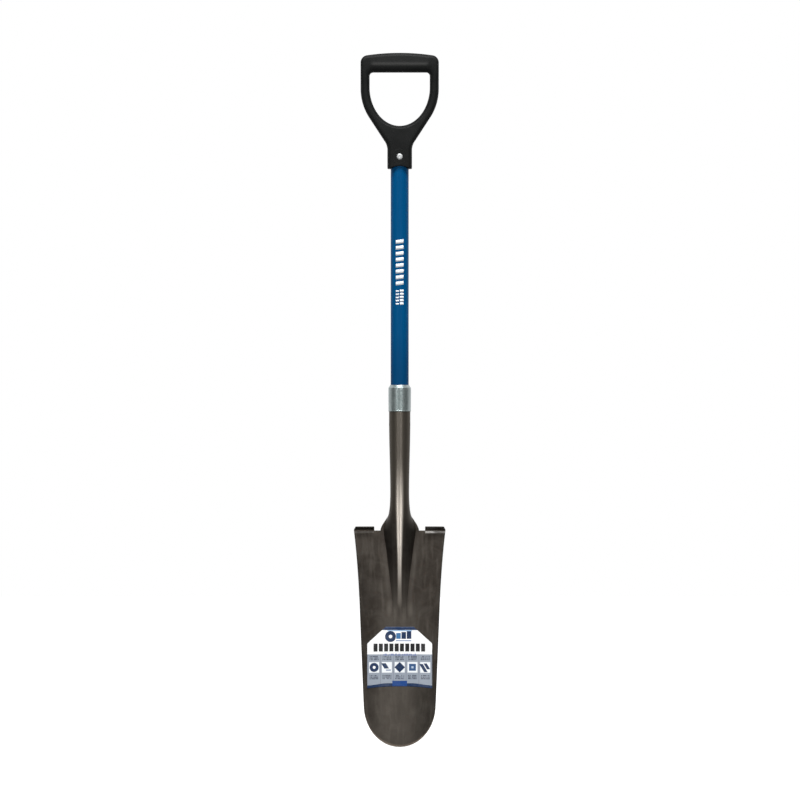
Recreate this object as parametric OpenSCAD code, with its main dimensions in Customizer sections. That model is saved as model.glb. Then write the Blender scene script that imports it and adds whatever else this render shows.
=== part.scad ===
// Drain spade with a round tip, a turned foot step on each side and a D-grip.
// The tip stands at z = 0 and the handle runs up the Z axis. The dished working face looks along -Y.

/* [Blade] */
// Height of the bend line where the foot steps start, above the tip
blade_h = 350.2; // [330:0.2:370]
// Width of the blade at the foot steps
blade_w = 149.4; // [140:0.2:160]
// Width of the blade where the round tip starts
tip_w = 116.6; // [105:0.2:125]
// Height of the round tip
tip_h = 68; // [55:1:80]
// Thickness of the steel sheet
sheet = 2; // [1.8:0.1:2.4]
// Depth of the dish across the lower blade
dish = 11; // [6:0.5:14]
// Depth of the dish across the foot steps
dish_top = 6; // [3:0.5:8]
// How far the blade's centre line sits behind the handle axis at the foot steps
blade_back = 5; // [3:0.5:6]
// Slope of the blade's centre line towards the front, per unit of height
lift = 0.139; // [0.13:0.001:0.15]

/* [Foot steps] */
// Width of each foot step
step_w = 33.2; // [28:0.2:36]
// Width of the relief notch beside each foot step
notch_w = 9.9; // [6:0.1:12]
// Length of the flat of a foot step, front to back
step_l = 11; // [8:0.5:14]
// Radius of the bend, at the middle of the sheet
bend_r = 3; // [3:0.1:5]
// Angle of the bend
bend_angle = 83; // [78:1:90]

/* [Frog] */
// Half width of the frog at the foot steps
frog_w = 26.2; // [24:0.2:28]
// Half width of the frog where it runs out
frog_end_w = 9.6; // [8:0.2:12]
// How far the frog's ridge stands in front of the handle axis
ridge_front = 15.7; // [15.4:0.1:16]
// Height above the tip at which the frog runs out
frog_end = 201; // [190:1:210]

/* [Socket] */
// Outer radius of the socket at its mouth
socket_r = 17.4; // [17.2:0.1:17.6]
// Outer radius of the socket at its waist
waist_r = 15.4; // [15.2:0.1:15.6]
// Height of the socket's mouth above the tip
socket_top = 581; // [575:1:582]
// Half angle that the rolled socket covers, measured from the front
socket_wrap = 174; // [168:0.5:176]

/* [Collar] */
// Height of the collar's lower edge above the tip
collar_z = 545; // [544:1:550]
// Length of the collar
collar_l = 43.2; // [43:0.2:48]
// Thickness of the collar's wall
collar_wall = 0.8; // [0.6:0.1:1]

/* [Handle] */
// Outer diameter of the handle tube
handle_d = 29.4; // [29:0.1:29.6]
// Wall of the handle tube
handle_wall = 4.5; // [3:0.5:5.5]
// Height of the handle tube's lower end above the tip
handle_z = 478; // [476:1:490]
// Height of the handle tube's upper end above the tip
handle_top = 988; // [980:1:990]
// Length of each hardwood core plug
plug_l = 76; // [60:1:90]

/* [Grip] */
// Overall height of the tool, tip to crown
tool_h = 1130.4; // [1128:0.1:1132]
// Half width of the grip
grip_w = 63.9; // [60:0.1:66]
// Half width of the hand opening
opening_w = 49.2; // [46:0.1:50]
// Height of the underside of the hand bar above the tip
bar_z = 1098.8; // [1096:0.1:1101]
// Height of the bottom of the hand opening above the tip
opening_z = 1011; // [1010:0.5:1016]
// Depth of the hand bar, front to back
bar_d = 30; // [26:1:34]
// Depth of the grip's arms, front to back
arm_d = 23; // [20:1:26]
// Width of the grip's neck
neck_w = 40.2; // [39:0.2:42]
// Depth of the grip's neck, front to back
neck_d = 38; // [37:0.5:40]
// Height of the neck's lower rim above the tip
neck_z = 941.5; // [938:0.5:945]

/* [Rivets] */
// Diameter of both rivet shanks
rivet_d = 4.8; // [4:0.1:6]
// Diameter of the grip rivet's head
grip_head_d = 10; // [8:0.5:12]
// Diameter of the washer behind the grip
washer_d = 12; // [10:0.5:14]
// Thickness of the washer behind the grip
washer_t = 1; // [0.8:0.1:1.5]
// Height of the grip rivet above the tip
grip_rivet_z = 960.5; // [955:0.5:966]
// Height of the socket rivet above the tip
socket_rivet_z = 524; // [510:1:535]

/* [Labels] */
// Half width of the blade label
label_w = 53.4; // [48:0.2:54]
// Height of the blade label's lower edge above the tip
label_z = 94.4; // [90:0.2:100]
// Height of the blade label
label_h = 99.4; // [90:0.2:104]
// Thickness of the labels
label_t = 0.25; // [0.2:0.05:0.4]
// Height of the handle label's lower edge above the tip
decal_z = 716; // [700:1:740]
// Length of the handle label
decal_l = 115; // [100:1:130]

/* [Hidden] */

// added to a hole's diameter so that its pin goes in
clear = 0.1;
// gap round a part that is pressed or rolled on
snug = 0.05;
// how far a cutting shape runs past what it cuts
over = 1;
round_fn = 64;

// columns of the blade's sheet, counted from the centre line out to one edge
col_centre = 12;
col_notch = 13;
col_edge = 20;
// rows of the blade's sheet, counted from the tip up
row_tip = 6;
row_frog = 9;
row_step = 20;
row_flare = 28;
row_top = 34;
bend_rows = 4;
flat_rows = 2;
flange_row = row_step + bend_rows + flat_rows;

// height of the first level row, above the round tip
level_z = 130;
// height at which the flare has drawn in to the socket's width, and at which the socket is a plain tube
flare_round = 396;
flare_top = 412;
// share of the half width taken by the middle columns low on the blade, and by the gap next to them
low_share = 0.3;
gap_share = 0.08;
centre_w = blade_w / 2 - step_w - notch_w;
// thickness left at the sharpened tip
edge_t = 0.8;

function ramp(a, b, v) = min(max((v - a) / (b - a), 0), 1);
function smooth(a, b, v) = let (t = ramp(a, b, v)) t * t * (3 - 2 * t);
function mix(a, b, t) = a + (b - a) * t;
function unit(v) = v / norm(v);

// ---- shape of the blade's sheet, at the middle of its thickness ----

// half width of the blade: nearly straight, then a quick spread towards the foot steps
spread_l = 113;
spread = 4.6;
side_slope = (blade_w - tip_w - 2 * spread) / 2 / (blade_h - tip_h);
function half_w(z) =
    tip_w / 2 + side_slope * max(z - tip_h, 0)
    + spread * pow(ramp(blade_h - spread_l, blade_h, z), 2);

// centre line of the blade, seen from the side
tip_curl = 0.00003;
function centre_y(z) = let (d = blade_h - z) blade_back - lift * d - tip_curl * d * d;

// share of the dish at a share v of the half width, round low down and straight at the steps
step_share = 1 - 2 * step_w / blade_w;
// height below the steps over which the round dish turns into the straight one
dish_blend = 70;
function step_dish(v) =
    (v < step_share ? v * v / (2 * step_share) : v - step_share / 2) / (1 - step_share / 2);
function dish_y(v, z) =
    let (m = smooth(blade_h - dish_blend, blade_h, z))
    mix(dish, dish_top, m) * mix(v * v, step_dish(v), m);

// the frog, a ridge with a round crest and straight flanks that meet the blade in a crease. It narrows
// downwards, and its crest runs straight on from the socket until the blade comes forward to meet it
ridge_blend = 2.5;
// rounding of the crest at the foot steps and where the frog runs out
crest_r = 12;
crest_end_r = 3;
// how sharply the frog widens upwards, and how far below its full rise the fading ends
frog_power = 1.35;
frog_fade = 15;
function frog_half(z) = mix(frog_end_w, frog_w, pow(ramp(frog_end, blade_h, z), frog_power));
function frog_rise(z) =
    let (d = centre_y(z) + ridge_front)
    (d + sqrt(d * d + ridge_blend * ridge_blend)) / 2 * smooth(level_z, frog_end - frog_fade, z);
function frog_y(x, z) =
    let (
        w = frog_half(z),
        c = mix(crest_end_r, crest_r, ramp(frog_end, blade_h, z)),
        v = (sqrt(x * x + c * c) - c) / (sqrt(w * w + c * c) - c)
    )
    frog_rise(z) * (1 - min(v, 1));

function sheet_y(x, z) = centre_y(z) - dish_y(abs(x) / half_w(z), z) - frog_y(x, z);

// outer radius of the socket: it swells from the waist to the mouth, and spreads a little at its foot
swell_low = 412;
swell_high = 530;
foot_z = 375;
foot_spread = 1.2;
function socket_out(z) =
    waist_r + (socket_r - waist_r) * smooth(swell_low, swell_high, z)
    + foot_spread * (1 - smooth(foot_z, flare_top, z));

// ---- columns and rows of the sheet ----

function low_angle(i) =
    let (a = asin(low_share + gap_share)) a + (90 - a) * (i - col_notch) / (col_edge - col_notch);
function top_share(i) = mix(step_share, 1, (i - col_notch) / (col_edge - col_notch));
function share(i, z) =
    i <= col_centre
        ? mix(low_share, 2 * centre_w / blade_w, ramp(frog_end, blade_h, z)) * i / col_centre
        : mix(sin(low_angle(i)), top_share(i), smooth(level_z, blade_h, z));

function tip_edge(s) = tip_h * (1 - sqrt(max(1 - s * s, 0)));
function row_z(i, j) =
    j <= row_tip ? mix(tip_edge(share(i, 0)), level_z, j / row_tip)
    : j <= row_frog ? mix(level_z, frog_end, (j - row_tip) / (row_frog - row_tip))
    : j <= row_step ? mix(frog_end, blade_h, (j - row_frog) / (row_step - row_frog))
    : j <= row_flare ? mix(blade_h, flare_top, (j - row_step) / (row_flare - row_step))
    : mix(flare_top, socket_top, (j - row_flare) / (row_top - row_flare));

// a point of the blade proper
function blade_point(i, z) =
    let (x = share(i, z) * half_w(z))
    [x, sheet_y(x, z), z];

// a point of the flare and socket, where the sheet rolls round to the back
flare_low = blade_h - 1;
flare_wrap = 162;
wrap_top = 480;
function socket_point(i, z) =
    let (
        flat = blade_point(i, min(z, blade_h)),
        r = socket_out(z) - sheet / 2,
        wrap = mix(flare_wrap, socket_wrap, smooth(flare_top, wrap_top, z)) * i / col_centre,
        w = smooth(flare_low, flare_round, z)
    )
    [mix(flat.x, r * sin(wrap), w), mix(flat.y, -r * cos(wrap), w), z];

// a point of a foot step: round the bend, then along the flat
function step_point(i, k) =
    let (
        start = blade_point(i, blade_h),
        up = unit([0, lift, 1]),
        fore = unit([0, -1, lift]),
        a = bend_angle * min(k / bend_rows, 1),
        flat = step_l * max(k - bend_rows, 0) / flat_rows
    )
    start + (bend_r * sin(a) + flat * cos(a)) * up
    + (bend_r * (1 - cos(a)) + flat * sin(a)) * fore;

function half_point(i, j) =
    j > row_step && i > col_centre ? step_point(i, min(j - row_step, bend_rows + flat_rows))
    : i <= col_centre ? socket_point(i, row_z(i, j))
    : blade_point(i, row_z(i, j));
function sheet_point(i, j) =
    let (p = half_point(abs(i), j))
    [sign(i) * p.x, p.y, p.z];

// cells of the sheet that hold steel: the blade, the middle above it and the two foot steps
function is_steel(i, j) =
    let (c = i < 0 ? -i - 1 : i)
    j >= 0 && j < row_top && c < col_edge
    && (j < row_step || c < col_centre || (c >= col_notch && j < flange_row));

// last row and column that a point's neighbours may use
function row_limit(i) = abs(i) <= col_centre ? row_top : abs(i) < col_notch ? row_step : flange_row;
function col_limit(i, j) =
    j <= row_step ? [-col_edge, col_edge]
    : abs(i) <= col_centre ? [-col_centre, col_centre]
    : i > 0 ? [col_notch, col_edge] : [-col_edge, -col_notch];

// direction from the sheet's middle towards its front face
function sheet_normal(i, j) =
    let (
        lim = col_limit(i, j),
        across = sheet_point(min(i + 1, lim[1]), j) - sheet_point(max(i - 1, lim[0]), j),
        along = sheet_point(i, min(j + 1, row_limit(i))) - sheet_point(i, max(j - 1, 0))
    )
    unit(cross(across, along));

// the tip is ground thin, all other rows keep the full sheet
function half_t(j) = (j == 0 ? edge_t : sheet) / 2;

module blade_sheet() {
    cols = 2 * col_edge + 1;
    rows = row_top + 1;
    points = [
        for (face = [1, -1], j = [0 : row_top], i = [-col_edge : col_edge])
            sheet_point(i, min(j, row_limit(i)))
            + face * half_t(j) * sheet_normal(i, min(j, row_limit(i)))
    ];
    function at(back, i, j) = (back * rows + j) * cols + i + col_edge;
    cells = [for (j = [0 : row_top - 1], i = [-col_edge : col_edge - 1]) if (is_steel(i, j)) [i, j]];
    faces = [
        for (c = cells)
            let (i = c[0], j = c[1])
            each [
                [at(0, i, j), at(0, i, j + 1), at(0, i + 1, j + 1), at(0, i + 1, j)],
                [at(1, i, j), at(1, i + 1, j), at(1, i + 1, j + 1), at(1, i, j + 1)],
                if (!is_steel(i - 1, j))
                    [at(0, i, j + 1), at(0, i, j), at(1, i, j), at(1, i, j + 1)],
                if (!is_steel(i + 1, j))
                    [at(0, i + 1, j), at(0, i + 1, j + 1), at(1, i + 1, j + 1), at(1, i + 1, j)],
                if (!is_steel(i, j - 1))
                    [at(0, i, j), at(0, i + 1, j), at(1, i + 1, j), at(1, i, j)],
                if (!is_steel(i, j + 1))
                    [at(0, i + 1, j + 1), at(0, i, j + 1), at(1, i, j + 1), at(1, i + 1, j + 1)]
            ]
    ];
    polyhedron(points, faces, convexity = 8);
}

// a rivet's hole through the handle axis, along Y, or along X at a turn of 90
module rivet_hole(z, turn) {
    translate([0, 0, z])
        rotate([90, 0, turn])
            cylinder(h = 2 * neck_d, d = rivet_d + clear, center = true, $fn = round_fn);
}

// size of the socket rivet's flush heads, and distance of their outer faces from the axis
pin_head_d = 9;
pin_head_h = 1.3;
pin_reach = socket_out(socket_rivet_z) - clear;

// both countersunk heads of the socket rivet, or their seats when grown a little
module pin_heads(grow) {
    translate([0, 0, socket_rivet_z])
        for (s = [-90, 90])
            rotate([0, s, 0])
                translate([0, 0, pin_reach - pin_head_h])
                    cylinder(
                        h = pin_head_h + grow,
                        d1 = rivet_d + grow,
                        d2 = pin_head_d + grow,
                        $fn = round_fn
                    );
}

module blade() {
    color([0.31, 0.29, 0.26])
        difference() {
            blade_sheet();
            rivet_hole(socket_rivet_z, 90);
            pin_heads(2 * clear);
        }
}

// ---- collar and handle ----

module collar() {
    lip = 0.3;
    lip_h = 1.6;
    lip_end = 2.4;
    crimp = 4.6;
    inner = socket_r + snug;
    neck = handle_d / 2 + snug;
    top = collar_z + collar_l;
    color([0.62, 0.66, 0.66])
        rotate_extrude($fn = round_fn)
            polygon([
                [inner, collar_z],
                [inner + collar_wall + lip, collar_z],
                [inner + collar_wall + lip, collar_z + lip_h],
                [inner + collar_wall, collar_z + lip_end],
                [inner + collar_wall + lip, top - crimp],
                [neck + collar_wall, top],
                [neck, top],
                [inner, top - crimp]
            ]);
}

// the lower end is drawn in to seat in the tapered socket
module handle_tube() {
    seat_l = 42;
    seat_in = 0.5;
    r = handle_d / 2;
    bore = r - handle_wall;
    color([0.05, 0.29, 0.49])
        difference() {
            rotate_extrude($fn = round_fn)
                polygon([
                    [bore, handle_z],
                    [r - seat_in, handle_z],
                    [r, handle_z + seat_l],
                    [r, handle_top],
                    [bore, handle_top]
                ]);
            rivet_hole(socket_rivet_z, 90);
            rivet_hole(grip_rivet_z, 0);
        }
}

module core_plug(z, hole_z, turn) {
    r = handle_d / 2 - handle_wall - clear / 2;
    chamfer = 1.5;
    color([0.72, 0.55, 0.36])
        difference() {
            translate([0, 0, z])
                rotate_extrude($fn = round_fn)
                    polygon([
                        [0, 0],
                        [r - chamfer, 0],
                        [r, chamfer],
                        [r, plug_l - chamfer],
                        [r - chamfer, plug_l],
                        [0, plug_l]
                    ]);
            rivet_hole(hole_z, turn);
        }
}

// each plug stops just inside the tube's end
plug_inset = 1;

module lower_core_plug() {
    core_plug(handle_z + plug_inset, socket_rivet_z, 90);
}

module upper_core_plug() {
    core_plug(handle_top - plug_inset - plug_l, grip_rivet_z, 0);
}

// ---- rivets ----

// a rivet along X whose heads lie flush in the sides of the socket
module socket_rivet() {
    shank_l = 2 * (pin_reach - pin_head_h) + snug;
    color([0.5, 0.48, 0.45])
        union() {
            pin_heads(0);
            translate([0, 0, socket_rivet_z])
                rotate([0, 90, 0])
                    cylinder(h = shank_l, d = rivet_d, center = true, $fn = round_fn);
        }
}

// depth of the seat under the grip rivet's head
seat_depth = 0.5;

// a rivet along Y: domed head with a dimple in front, upset end behind
module grip_rivet() {
    head_h = 2.2;
    rim_h = 0.5;
    dimple_r = 2.6;
    dimple_depth = 0.6;
    tail_d = 7.4;
    tail_root_d = 5.4;
    tail_h = 1.6;
    front = neck_d / 2 - seat_depth;
    back = neck_d / 2 + washer_t;
    color([0.75, 0.76, 0.76])
        translate([0, 0, grip_rivet_z])
            rotate([90, 0, 0])
                difference() {
                    union() {
                        translate([0, 0, -back])
                            cylinder(h = front + back, d = rivet_d, $fn = round_fn);
                        translate([0, 0, front])
                            rotate_extrude($fn = round_fn)
                                polygon([
                                    [0, 0],
                                    [grip_head_d / 2, 0],
                                    [grip_head_d / 2, rim_h],
                                    for (a = [15 : 15 : 90])
                                        [grip_head_d / 2 * cos(a), mix(rim_h, head_h, sin(a))]
                                ]);
                        translate([0, 0, -back - tail_h])
                            cylinder(h = tail_h, d1 = tail_root_d, d2 = tail_d, $fn = round_fn);
                    }
                    translate([0, 0, front + head_h + dimple_r - dimple_depth])
                        sphere(r = dimple_r, $fn = round_fn);
                }
}

module grip_rivet_washer() {
    color([0.75, 0.76, 0.76])
        translate([0, neck_d / 2 + washer_t, grip_rivet_z])
            rotate([90, 0, 0])
                difference() {
                    cylinder(h = washer_t, d = washer_d, $fn = round_fn);
                    translate([0, 0, -over])
                        cylinder(h = washer_t + 2 * over, d = rivet_d + clear, $fn = round_fn);
                }
}

// ---- D-grip ----

// outer outline of one side: crown, corner, straight side, shoulder arc and flank down to the neck
crown_r = 370;
corner_r = 10;
corner_x = grip_w - corner_r;
corner_z = tool_h - corner_x * corner_x / (2 * crown_r) - corner_r;
shoulder_z = 1072;
shoulder_r = 85;
flank_angle = 33.2;
flank_top = [
    grip_w - shoulder_r * (1 - cos(flank_angle)),
    shoulder_z - shoulder_r * sin(flank_angle)
];
flank_end = [20, 981];
neck_top = 972;

// the flank's x at height z
function flank_x(z) = flank_top.x + (z - flank_top.y) * tan(flank_angle);

// inner outline of one side: underside of the bar, corner, straight side and half an ellipse
inner_r = 6;
inner_side_z = 1075;
// angle round the ellipse that lies beside the end of the shoulder arc
ellipse_split = 48;
// point of the inner outline at angle a round the ellipse, grown outwards by d
function ellipse_point(a, d = 0) = [
    (opening_w + d) * cos(a),
    inner_side_z - (inner_side_z - opening_z + d) * sin(a)
];

// depth of the ring where it meets the web, front to back
web_d = 32;

// matching points of the inner and outer outlines with the half depth between them, bar to neck
grip_ring = [
    for (t = [0 : 0.25 : 0.75])
        let (x = t * corner_x)
        [
            [t * (opening_w - inner_r), bar_z],
            [x, tool_h - x * x / (2 * crown_r)],
            bar_d / 2
        ],
    for (a = [0 : 18 : 90])
        [
            [opening_w - inner_r + inner_r * sin(a), bar_z - inner_r + inner_r * cos(a)],
            [corner_x + corner_r * sin(a), corner_z + corner_r * cos(a)],
            mix(bar_d, arm_d, smooth(0, 90, a)) / 2
        ],
    for (t = [0.5, 1])
        [
            [opening_w, mix(bar_z - inner_r, inner_side_z, t)],
            [grip_w, mix(corner_z, shoulder_z, t)],
            arm_d / 2
        ],
    for (t = [0.2 : 0.2 : 1])
        [
            ellipse_point(ellipse_split * t),
            [
                grip_w - shoulder_r * (1 - cos(flank_angle * t)),
                shoulder_z - shoulder_r * sin(flank_angle * t)
            ],
            arm_d / 2
        ],
    for (t = [0.2 : 0.2 : 1])
        [
            ellipse_point(mix(ellipse_split, 90, t)),
            [
                mix(flank_top.x, t < 1 ? flank_end.x : 0, t),
                mix(flank_top.y, flank_end.y, t)
            ],
            mix(arm_d, web_d, t * t) / 2
        ]
];

// the loop's section at each station is between an ellipse and a rounded rectangle
module grip_loop() {
    n = 16;
    squareness = 0.8;
    half = len(grip_ring);
    stations = concat(
        grip_ring,
        [
            for (k = [half - 2 : -1 : 1])
                let (s = grip_ring[k])
                [[-s[0].x, s[0].y], [-s[1].x, s[1].y], s[2]]
        ]
    );
    m = len(stations);
    points = [
        for (s = stations, k = [0 : n - 1])
            let (
                a = 360 * k / n,
                mid = (s[0] + s[1]) / 2,
                out = (s[1] - s[0]) / 2,
                c = sign(cos(a)) * pow(abs(cos(a)), squareness),
                d = sign(sin(a)) * pow(abs(sin(a)), squareness)
            )
            [mid.x + out.x * c, s[2] * d, mid.y + out.y * c]
    ];
    faces = [
        for (j = [0 : m - 1], k = [0 : n - 1])
            let (j2 = (j + 1) % m, k2 = (k + 1) % n)
            [j * n + k, j * n + k2, j2 * n + k2, j2 * n + k]
    ];
    polyhedron(points, faces, convexity = 6);
}

// web that carries the arms down to the neck: its front outline crossed with its side outline
module grip_web() {
    inset = 2;
    fillet_r = 26.7;
    flank_low = 1000;
    side = [
        for (a = [0 : flank_angle / 4 : flank_angle])
            [neck_w / 2 + fillet_r * (1 - cos(a)), neck_top + fillet_r * sin(a)],
        [flank_x(flank_low) - inset, flank_low],
        for (a = [50 : 20 : 90])
            ellipse_point(a, inset)
    ];
    mirrored = [for (k = [len(side) - 2 : -1 : 0]) [-side[k].x, side[k].y]];
    intersection() {
        rotate([90, 0, 0])
            linear_extrude(height = neck_d, center = true)
                polygon(concat([[0, neck_top]], side, mirrored));
        rotate([90, 0, 90])
            linear_extrude(height = 2 * grip_w, center = true)
                polygon([
                    [-neck_d / 2, neck_top],
                    [neck_d / 2, neck_top],
                    [arm_d / 2 + inset, opening_z],
                    [-arm_d / 2 - inset, opening_z]
                ]);
    }
}

// socket of the grip: a square column whose corners are rounded about the handle axis
module grip_neck(h) {
    corner_over = 2.6;
    intersection() {
        cylinder(h = h, r = neck_w / 2 + corner_over, $fn = round_fn);
        translate([-neck_w / 2, -neck_d / 2, 0])
            cube([neck_w, neck_d, h]);
    }
}

module d_grip() {
    color([0.15, 0.155, 0.15])
        difference() {
            union() {
                grip_loop();
                grip_web();
                translate([0, 0, neck_z])
                    grip_neck(neck_top - neck_z);
            }
            translate([0, 0, neck_z - over])
                cylinder(h = handle_top - neck_z + 2 * over, r = handle_d / 2 + clear, $fn = round_fn);
            rivet_hole(grip_rivet_z, 0);
            // shallow seat under the rivet's head
            translate([0, -neck_d / 2 + seat_depth, grip_rivet_z])
                rotate([90, 0, 0])
                    cylinder(h = seat_depth + over, d = grip_head_d + 1, $fn = round_fn);
        }
}

// ---- labels ----

// the blade label lies on the dished face, with its two upper corners cut off
module blade_label() {
    cols = 12;
    rows = 8;
    // share of the height at which the corners start, and half width left at the top
    shoulder = 0.73;
    top_w = 23;
    gap = 0.06;
    // distance to each side over which the sheet's slope is taken
    h = 0.5;
    points = [
        for (layer = [0, 1], j = [0 : rows], i = [-cols : cols])
            let (
                z = label_z + label_h * j / rows,
                w = mix(label_w, top_w, ramp(shoulder, 1, j / rows)),
                x = w * i / cols,
                lift_off = sheet / 2 + gap + layer * label_t,
                slope_x = (sheet_y(x + h, z) - sheet_y(x - h, z)) / (2 * h),
                slope_z = (sheet_y(x, z + h) - sheet_y(x, z - h)) / (2 * h)
            )
            [x, sheet_y(x, z), z] + lift_off * unit([slope_x, -1, slope_z])
    ];
    n = 2 * cols + 1;
    layer_n = n * (rows + 1);
    function at(layer, i, j) = layer * layer_n + j * n + i;
    faces = [
        for (j = [0 : rows - 1], i = [0 : n - 2])
            each [
                [at(1, i, j), at(1, i, j + 1), at(1, i + 1, j + 1), at(1, i + 1, j)],
                [at(0, i, j), at(0, i + 1, j), at(0, i + 1, j + 1), at(0, i, j + 1)]
            ],
        for (j = [0 : rows - 1])
            each [
                [at(1, 0, j + 1), at(1, 0, j), at(0, 0, j), at(0, 0, j + 1)],
                [at(1, n - 1, j), at(1, n - 1, j + 1), at(0, n - 1, j + 1), at(0, n - 1, j)]
            ],
        for (i = [0 : n - 2])
            each [
                [at(1, i, 0), at(1, i + 1, 0), at(0, i + 1, 0), at(0, i, 0)],
                [at(1, i + 1, rows), at(1, i, rows), at(0, i, rows), at(0, i + 1, rows)]
            ]
    ];
    color([0.9, 0.91, 0.93])
        polyhedron(points, faces, convexity = 4);
}

// the handle label wraps part of the way round the front of the tube
module handle_label() {
    gap = 0.02;
    r = handle_d / 2 + gap;
    half_x = 7.8;
    color([0.93, 0.94, 0.95])
        intersection() {
            translate([0, 0, decal_z])
                difference() {
                    cylinder(h = decal_l, r = r + label_t, $fn = round_fn);
                    translate([0, 0, -over])
                        cylinder(h = decal_l + 2 * over, r = r, $fn = round_fn);
                }
            translate([-half_x, -handle_d, decal_z])
                cube([2 * half_x, handle_d, decal_l]);
        }
}

blade();
collar();
handle_tube();
lower_core_plug();
upper_core_plug();
socket_rivet();
d_grip();
grip_rivet();
grip_rivet_washer();
blade_label();
handle_label();
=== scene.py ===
import math

import bpy
import numpy as np
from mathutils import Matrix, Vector


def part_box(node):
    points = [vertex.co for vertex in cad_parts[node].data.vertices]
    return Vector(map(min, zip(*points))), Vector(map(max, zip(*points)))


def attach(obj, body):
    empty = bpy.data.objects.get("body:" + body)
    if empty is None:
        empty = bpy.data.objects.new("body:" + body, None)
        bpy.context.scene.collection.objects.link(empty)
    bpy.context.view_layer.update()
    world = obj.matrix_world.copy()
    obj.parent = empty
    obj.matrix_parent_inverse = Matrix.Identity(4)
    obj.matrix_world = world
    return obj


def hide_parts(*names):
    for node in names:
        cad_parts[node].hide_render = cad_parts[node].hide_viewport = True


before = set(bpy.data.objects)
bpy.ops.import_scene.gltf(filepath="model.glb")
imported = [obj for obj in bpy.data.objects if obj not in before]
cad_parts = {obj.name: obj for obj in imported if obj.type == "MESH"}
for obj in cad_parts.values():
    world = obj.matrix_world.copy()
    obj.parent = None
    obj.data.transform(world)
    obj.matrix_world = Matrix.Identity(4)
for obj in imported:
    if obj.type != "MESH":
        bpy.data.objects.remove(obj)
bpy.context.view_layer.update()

# Shapes are worked out in millimetres, in the CAD frame, and become metres when a mesh is made.
MM = 0.001


def box_mm(node):
    """Lowest and highest corner of a CAD node, in millimetres."""
    lo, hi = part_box(node)
    return np.array(lo) / MM, np.array(hi) / MM


blade_lo, blade_hi = box_mm("blade")
collar_lo, collar_hi = box_mm("collar")
tube_lo, tube_hi = box_mm("handle_tube")
grip_lo, grip_hi = box_mm("d_grip")
rivet_lo, rivet_hi = box_mm("grip_rivet")
washer_lo, washer_hi = box_mm("grip_rivet_washer")
pin_lo, pin_hi = box_mm("socket_rivet")
label_lo, label_hi = box_mm("blade_label")


# ---------------------------------------------------------------- small maths

def ramp(a, b, v):
    return np.clip((v - a) / (b - a), 0.0, 1.0)


def smooth(a, b, v):
    t = ramp(a, b, v)
    return t * t * (3 - 2 * t)


def mix(a, b, t):
    return a + (b - a) * t


def unit(v):
    return v / np.linalg.norm(v, axis=-1, keepdims=True)


# ---------------------------------------------------------------- mesh helpers

def add_piece(name, verts, faces, cad_node):
    """Makes a smooth-shaded object from millimetre points, in place of the CAD node it stands for."""
    mesh = bpy.data.meshes.new(name)
    mesh.from_pydata((np.asarray(verts) * MM).tolist(), [], faces)
    mesh.validate()
    obj = bpy.data.objects.new(name, mesh)
    bpy.context.scene.collection.objects.link(obj)
    mesh.polygons.foreach_set("use_smooth", [True] * len(mesh.polygons))
    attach(obj, "root")
    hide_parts(cad_node)
    return obj


def add_attribute(obj, name, values):
    layer = obj.data.attributes.new(name, "FLOAT", "POINT")
    layer.data.foreach_set("value", np.asarray(values, np.float32))


def round_edges(obj, width_mm):
    """Rounds every edge that is sharper than 50 degrees."""
    bevel = obj.modifiers.new("edge_rounding", "BEVEL")
    bevel.width = width_mm * MM
    bevel.segments = 2
    bevel.limit_method = "ANGLE"
    bevel.angle_limit = math.radians(50)
    bevel.harden_normals = True


def lathe(profile, steps=96):
    """Turns a closed (radius, height) outline about the Z axis. Points on the axis are shared."""
    verts, rings = [], []
    for r, z in profile:
        if r < 1e-6:
            rings.append([len(verts)] * steps)
            verts.append((0.0, 0.0, z))
            continue
        rings.append(list(range(len(verts), len(verts) + steps)))
        for k in range(steps):
            a = 2 * math.pi * k / steps
            verts.append((r * math.cos(a), r * math.sin(a), z))
    faces = []
    for ring, after in zip(rings, rings[1:] + rings[:1]):
        for k in range(steps):
            k2 = (k + 1) % steps
            corners = [ring[k], ring[k2], after[k2], after[k]]
            corners = [c for n, c in enumerate(corners) if c not in corners[:n]]
            if len(corners) > 2:
                faces.append(corners)
    return np.array(verts), faces


def arc(cx, cy, r, a0, a1, steps):
    """Points of an arc, in degrees, as (x, y) pairs."""
    return [
        (cx + r * math.cos(math.radians(a)), cy + r * math.sin(math.radians(a)))
        for a in np.linspace(a0, a1, steps + 1)
    ]


# ---------------------------------------------------------------- blade

# Driving sizes of the blade, the same as the CAD part's.
SHEET = 2.0
BLADE_H = 350.2
BLADE_W = 149.4
TIP_W = 116.6
TIP_H = 68.0
DISH, DISH_TOP = 11.0, 6.0
BLADE_BACK, LIFT, TIP_CURL = 5.0, 0.139, 0.00003
STEP_W, NOTCH_W, STEP_L = 33.2, 9.9, 11.0
BEND_R, BEND_ANGLE = 3.0, math.radians(83)
FROG_W, FROG_END_W, FROG_END = 26.2, 9.6, 201.0
RIDGE_FRONT, RIDGE_BLEND = 15.7, 2.5
CREST_R, CREST_END_R = 12.0, 3.0
SOCKET_R, WAIST_R, SOCKET_WRAP = 17.4, 15.4, 174.0
SOCKET_TOP = blade_hi[2]
LEVEL_Z = 130.0
FLARE_LOW, FLARE_ROUND, FLARE_TOP = BLADE_H - 1, 396.0, 412.0
SPREAD, SPREAD_Z = 4.6, BLADE_H - 113.0
LOW_SHARE = 0.3
STEP_SHARE = 1 - 2 * STEP_W / BLADE_W
CENTRE_SHARE = 1 - 2 * (STEP_W + NOTCH_W) / BLADE_W

# Details that only the visual model has: the steps' rounded corners and lean, the ground edge, rounded edges.
STEP_OUTER_R, STEP_INNER_R, STEP_LEAN = 4.0, 2.0, 1.8
GROUND_SHARE, GROUND_ROWS = 0.35, 0.7
EDGE_ROUNDING = 0.45

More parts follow.
